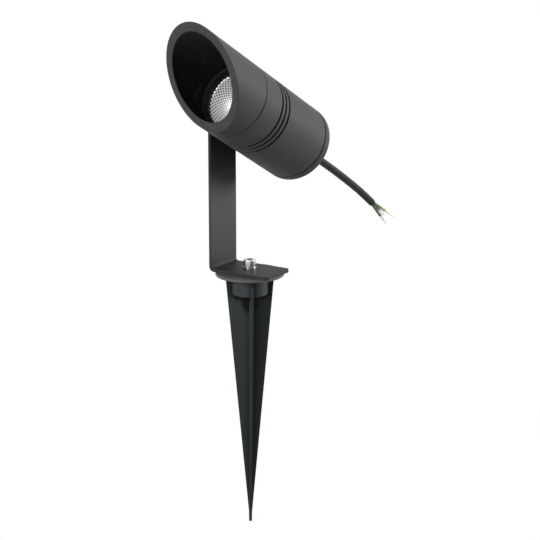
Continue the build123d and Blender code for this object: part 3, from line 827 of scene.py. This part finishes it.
def makeReflectorMesh(setup):
    around, rings = setup["around"], setup["rings"]
    bowl = bmesh.new()
    rows = []
    for ring in range(rings + 1):
        radius = bowlRadius(setup, ring / rings)
        offset = 0.5 if ring % 2 else 0.0
        rows.append(ringOfVerts(bowl, setup, radius, bowlStation(setup, radius), offset))
    outlines = pressFacets(bowl, rows, setup)
    outside = [ringOfVerts(bowl, setup, *place) for place in outsideProfile(setup)]
    lines = [rows[-1]] + outside + [rows[0]]
    for inner, outer in zip(lines, lines[1:]):
        for column in range(around):
            following = (column + 1) % around
            bowl.faces.new((inner[column], inner[following], outer[following], outer[column]))
    bmesh.ops.recalc_face_normals(bowl, faces=bowl.faces)
    for edge in bowl.edges:
        edge.smooth = frozenset(edge.verts) not in outlines
    for face in bowl.faces:
        face.smooth = True
    bmesh.ops.transform(bowl, matrix=headFrame, verts=bowl.verts)
    mesh = bpy.data.meshes.new("facetedReflector")
    bowl.to_mesh(mesh)
    bowl.free()
    return mesh


def paintedReflectionNet(tree, point, radius, setup):
    # Painted reflection: 0 on the facets' edges and where painted light washes the net out, 1 in the
    # facets' middles
    column = mathNode(tree, "MULTIPLY", axisTurn(tree, point), float(setup["around"]))
    halfRing = rangeNode(tree, radius, setup["throat"], setup["mouth"], 0.0, setup["rings"] / 2)
    rising = mathNode(tree, "PINGPONG", mathNode(tree, "ADD", column, halfRing), 0.5)
    falling = mathNode(tree, "PINGPONG", mathNode(tree, "SUBTRACT", column, halfRing), 0.5)
    middle = rangeNode(tree, mathNode(tree, "MULTIPLY", rising, falling), 0.0, setup["netReach"], 0.0, 1.0)
    return mathNode(tree, "MULTIPLY", middle, rangeNode(tree, radius, *setup["clearNet"], 0.0, 1.0))


def makeReflectorMetal(setup):
    # Painted glow: it shines to the eye, through the glass too, but no other surface mirrors or gets it.
    # Its colour is painted reflection
    material, tree, shader = newMaterial("metallisedReflector")
    point = headPoint(tree)
    radius = axisDistance(tree, point)
    # The facets' middles are painted dark as painted reflection
    dark, pale = shades(setup["colour"], setup["middleReflectionShade"], 1.0)
    colour = mixColour(tree, paintedReflectionNet(tree, point, radius, setup), pale, dark)
    # Painted glow, stronger at the throat than at the mouth
    paintedGlow = rangeNode(tree, radius, setup["throat"], setup["mouth"], *setup["paintedGlow"])
    path = addNode(tree, "LightPath").outputs
    bounces = mathNode(tree, "ADD", path["Diffuse Depth"], path["Glossy Depth"])
    direct = mathNode(tree, "LESS_THAN", bounces, 0.5)
    mottle = grain(tree, objectPoint(tree), setup["mottle"], 3.0)
    looks = {
        "Base Color": colour,
        "Emission Color": colour,
        "Emission Strength": mathNode(tree, "MULTIPLY", paintedGlow, direct),
        "Roughness": spreadNoise(tree, mottle, *setup["roughness"]),
        "Metallic": setup["metallic"],
    }
    setSockets(tree, shader, looks)
    return material


reflectorPiece = makeObject(
    "faceted_reflector",
    makeReflectorMesh(reflectorBowl),
    makeReflectorMetal(reflectorBowl),
    "head",
)
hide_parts("reflector")
print("reflector:", len(reflectorPiece.data.polygons), "faces")


# Supply lead, its points in the head's own frame as in the part's source
supplyLead = {
    "points": [
        (0.0, 0.0, -0.098),
        (0.0, 0.0, -0.119),
        (0.0002, -0.0006, -0.142),
        (0.0006, -0.0016, -0.164),
        (0.001, -0.003, -0.184),
        (0.0016, -0.0054, -0.203),
    ],
    "radius": 0.0032,
    "length": 0.1052,
    "colour": (0.017, 0.017, 0.016),
    "lineShade": (0.85, 1.25),  # fine lines drawn along the sheath
    "lineSize": 0.0009,
    "lineStretch": (1.0, 0.12, 0.2),
    "lineDepth": 0.7,  # of the skin's depth
    "skinSize": 0.0005,
    "skinDepth": 0.00003,
    "roughness": (0.46, 0.6),
    "specular": 0.16,
}


def makeSheathRubber(setup):
    material, tree, shader = newMaterial("leadSheath")
    point = objectPoint(tree)
    skin = grain(tree, point, setup["skinSize"])
    lines = grain(tree, stretchedPoint(tree, point, setup["lineStretch"]), setup["lineSize"])
    height = mathNode(tree, "ADD", mathNode(tree, "MULTIPLY", lines, setup["lineDepth"]), skin)
    looks = {
        "Base Color": mottled(tree, lines, setup["colour"], setup["lineShade"]),
        "Roughness": spreadNoise(tree, skin, *setup["roughness"]),
        "Normal": bump(tree, height, setup["skinDepth"]),
        "Specular IOR Level": setup["specular"],
    }
    setSockets(tree, shader, looks)
    return material


def makeLead(setup):
    curve = bpy.data.curves.new("supplyLead", "CURVE")
    curve.dimensions = "3D"
    curve.bevel_depth = setup["radius"]
    curve.bevel_resolution = 8
    curve.use_fill_caps = True
    spline = curve.splines.new("NURBS")
    spline.points.add(len(setup["points"]) - 1)
    for place, point in zip(spline.points, setup["points"]):
        place.co = (*(headFrame @ Vector(point)), 1.0)
    spline.order_u = 3
    spline.use_endpoint_u = True
    spline.resolution_u = 16
    lead = makeObject("supply_lead", curve, makeSheathRubber(setup), "head")
    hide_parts("power_cable")


makeLead(supplyLead)
print("supply lead laid")


# Floor and light
studio = {
    "floorHeight": -0.2125,
    "floorSize": 60.0,
    "floorColour": (0.16, 0.16, 0.16),  # the one that lights the object
    "seenFloorColour": (0.36, 0.36, 0.36),  # and the one that the camera sees
    "speckleSize": 0.002,
    "speckleShade": 0.99,
    "floorRoughness": 0.9,
    "floorLift": 0.855,
    "fill": 0.033,
    "darkGap": (0.93, -0.36, -0.12),  # where the room is dark to shiny metal, as beside a camera
    "gapEdge": (0.9, 0.97),  # cosines from its middle, outside and inside its soft edge
    "gapShade": 0.05,
    "softSources": [  # bearing from +X and height in degrees, strength, width in degrees
        {"name": "rightSoftbox", "bearing": 42.0, "height": 8.0, "strength": 0.89, "width": 24.0},
        {"name": "frontSoftbox", "bearing": -100.0, "height": 16.0, "strength": 0.56, "width": 24.0},
        {"name": "upperSoftbox", "bearing": -75.0, "height": 25.0, "strength": 0.18, "width": 24.0},
        {"name": "rearSoftbox", "bearing": 150.0, "height": 5.0, "strength": 0.3, "width": 40.0},
    ],
}


def seenShare(tree, direction, setup):
    # How much of the white room a ray sees: the camera's and glass's all, a shiny surface's less in the gap
    sockets = {0: Vector(setup["darkGap"]).normalized(), 1: direction}
    toward = addNode(tree, "VectorMath", sockets, operation="DOT_PRODUCT").outputs["Value"]
    shiny = rangeNode(tree, toward, *setup["gapEdge"], 1.0, setup["gapShade"])
    path = addNode(tree, "LightPath").outputs
    glossy = mathNode(tree, "MULTIPLY", path["Is Glossy Ray"], shiny)
    plain = mathNode(tree, "MAXIMUM", path["Is Camera Ray"], path["Is Transmission Ray"])
    return mathNode(tree, "MAXIMUM", plain, glossy)


def makeFloorPaint(setup):
    material, tree, shader = newMaterial("paleFloor")
    point = objectPoint(tree)
    pale, paler = shades(setup["seenFloorColour"], setup["speckleShade"], 1.0)
    seenColour = ramp(tree, grain(tree, point, setup["speckleSize"]), [(0.4, pale), (0.6, paler)])
    byCamera = addNode(tree, "LightPath").outputs["Is Camera Ray"]
    direction = addNode(tree, "VectorMath", {0: point}, operation="NORMALIZE").outputs[0]
    seen = seenShare(tree, direction, setup)
    looks = {
        "Base Color": mixColour(tree, byCamera, setup["floorColour"], seenColour),
        "Roughness": setup["floorRoughness"],
        "Specular IOR Level": 0.0,
        "Emission Color": (1.0, 1.0, 1.0, 1.0),
        "Emission Strength": mathNode(tree, "MULTIPLY", seen, setup["floorLift"]),
    }
    setSockets(tree, shader, looks)
    return material


def makeFloor(setup):
    half = setup["floorSize"] / 2
    sheet = bmesh.new()
    corners = [(-half, -half), (half, -half), (half, half), (-half, half)]
    sheet.faces.new([sheet.verts.new((x, y, setup["floorHeight"])) for x, y in corners])
    mesh = bpy.data.meshes.new("studioFloor")
    sheet.to_mesh(mesh)
    sheet.free()
    mesh.materials.append(makeFloorPaint(setup))
    floor = bpy.data.objects.new("studio_floor", mesh)
    scene.collection.objects.link(floor)


def makeWorld(setup):
    world = bpy.data.worlds.new("studioWorld")
    scene.world = world
    world.use_nodes = True
    tree = world.node_tree
    seen = seenShare(tree, addNode(tree, "TexCoord").outputs["Generated"], setup)
    looks = {"Color": (1.0, 1.0, 1.0, 1.0), "Strength": rangeNode(tree, seen, 0.0, 1.0, setup["fill"], 1.0)}
    setSockets(tree, tree.nodes["Background"], looks)


def makeSources(setup):
    for source in setup["softSources"]:
        data = bpy.data.lights.new(source["name"], "SUN")
        data.energy = math.pi * source["strength"]
        data.angle = math.radians(source["width"])
        holder = bpy.data.objects.new(source["name"], data)
        scene.collection.objects.link(holder)
        bearing, height = math.radians(source["bearing"]), math.radians(source["height"])
        level = math.cos(height)
        toward = Vector((math.cos(bearing) * level, math.sin(bearing) * level, math.sin(height)))
        holder.location = toward
        holder.rotation_euler = (-toward).to_track_quat("-Z", "Y").to_euler()


makeFloor(studio)
makeWorld(studio)
makeSources(studio)
scene.view_settings.view_transform = "Standard"
print("floor, world and", len(studio["softSources"]), "soft sources")
